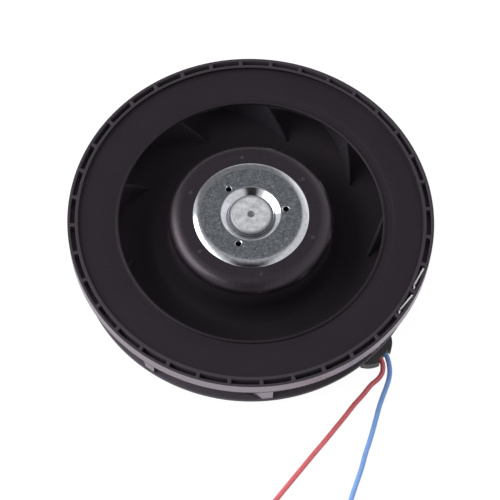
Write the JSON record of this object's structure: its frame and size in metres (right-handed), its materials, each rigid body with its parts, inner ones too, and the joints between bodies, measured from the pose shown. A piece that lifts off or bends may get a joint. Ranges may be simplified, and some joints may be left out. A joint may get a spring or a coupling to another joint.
{
  "type": "centrifugal fan",
  "caption": "Flat motorised centrifugal fan: backward-curved impeller with balancing rim on an external-rotor DC motor, with mounting flange and two flying leads.",
  "frame": {"origin": "on the fan's axis, in the plane of its mounting face", "axes": "+Z along the fan's axis, towards the inlet; +X to the right and +Y away from the viewer of the picture, so the lead outlet points 40 degrees clockwise of +X seen from the inlet"},
  "size_m": [0.1035, 0.1513, 0.0254],
  "materials": {
    "black_plastic": "matt glass-fibre reinforced plastic, charcoal black",
    "zinc_plated_steel": "zinc-plated deep-drawn sheet",
    "cast_zinc": "fine matt die casting",
    "ground_steel": "ground",
    "spring_steel": "bright strip",
    "bearing_steel": "polished",
    "cage_plastic": "natural moulding",
    "bonded_ferrite": "matt plastic-bonded ferrite",
    "turned_brass": "turned",
    "lamination_steel": "stacked sheet",
    "insulator_plastic": "natural moulding",
    "enamelled_copper": "enamelled wire",
    "board_laminate": "solder mask",
    "chip_plastic": "matt moulding",
    "capacitor_resin": "resin",
    "cast_aluminium": "die casting, as cast",
    "grey_plastic": "matt moulding, dark grey",
    "red_insulation": "satin lead insulation",
    "blue_insulation": "satin lead insulation",
    "tie_plastic": "matt strap",
    "tinned_copper": "tinned strands"
  },
  "bodies": {
    "stator": {"upper_bearing_outer": "bearing_steel", "lower_bearing_outer": "bearing_steel", "bearing_tube": "turned_brass", "stator_stack": "lamination_steel", "insulator_upper": "insulator_plastic", "insulator_lower": "insulator_plastic", "windings": "enamelled_copper", "circuit_board": "board_laminate", "hall_sensor": "chip_plastic", "driver_chips": "chip_plastic", "diode": "chip_plastic", "chip_resistors": "chip_plastic", "capacitor": "capacitor_resin", "mounting_flange": "cast_aluminium", "lead_guide": "grey_plastic", "lead_guide_cover": "grey_plastic", "red_lead_tail": "red_insulation", "red_lead": "red_insulation", "red_coil": "red_insulation", "blue_lead_tail": "blue_insulation", "blue_lead": "blue_insulation", "blue_coil": "blue_insulation", "red_tie": "tie_plastic", "blue_tie": "tie_plastic", "red_tip": "tinned_copper", "blue_tip": "tinned_copper"},
    "rotor": {"impeller": "black_plastic", "shroud_ring": "black_plastic", "rotor_pot": "zinc_plated_steel", "shaft_boss": "cast_zinc", "shaft": "ground_steel", "magnet_ring": "bonded_ferrite", "balance_clips": "spring_steel", "upper_bearing_inner": "bearing_steel", "lower_bearing_inner": "bearing_steel", "preload_washer": "spring_steel", "shim_washer": "spring_steel", "retaining_ring": "spring_steel"},
    "upper_ball_set": {"upper_bearing_balls": "bearing_steel", "upper_bearing_cage": "cage_plastic"},
    "lower_ball_set": {"lower_bearing_balls": "bearing_steel", "lower_bearing_cage": "cage_plastic"}
  },
  "joints": [
    {"name": "impeller_spin", "type": "hinge", "parent": "stator", "child": "rotor", "pos_m": [0, 0, 0], "axis": [0, 0, -1], "continuous": true},
    {"name": "upper_bearing_roll", "type": "hinge", "parent": "stator", "child": "upper_ball_set", "pos_m": [0, 0, 0], "axis": [0, 0, -1], "continuous": true},
    {"name": "lower_bearing_roll", "type": "hinge", "parent": "stator", "child": "lower_ball_set", "pos_m": [0, 0, 0], "axis": [0, 0, -1], "continuous": true}
  ],
  "couplings": [
    {"joint": "upper_bearing_roll", "follows": "impeller_spin", "ratio": 0.3636},
    {"joint": "lower_bearing_roll", "follows": "impeller_spin", "ratio": 0.3636}
  ]
}
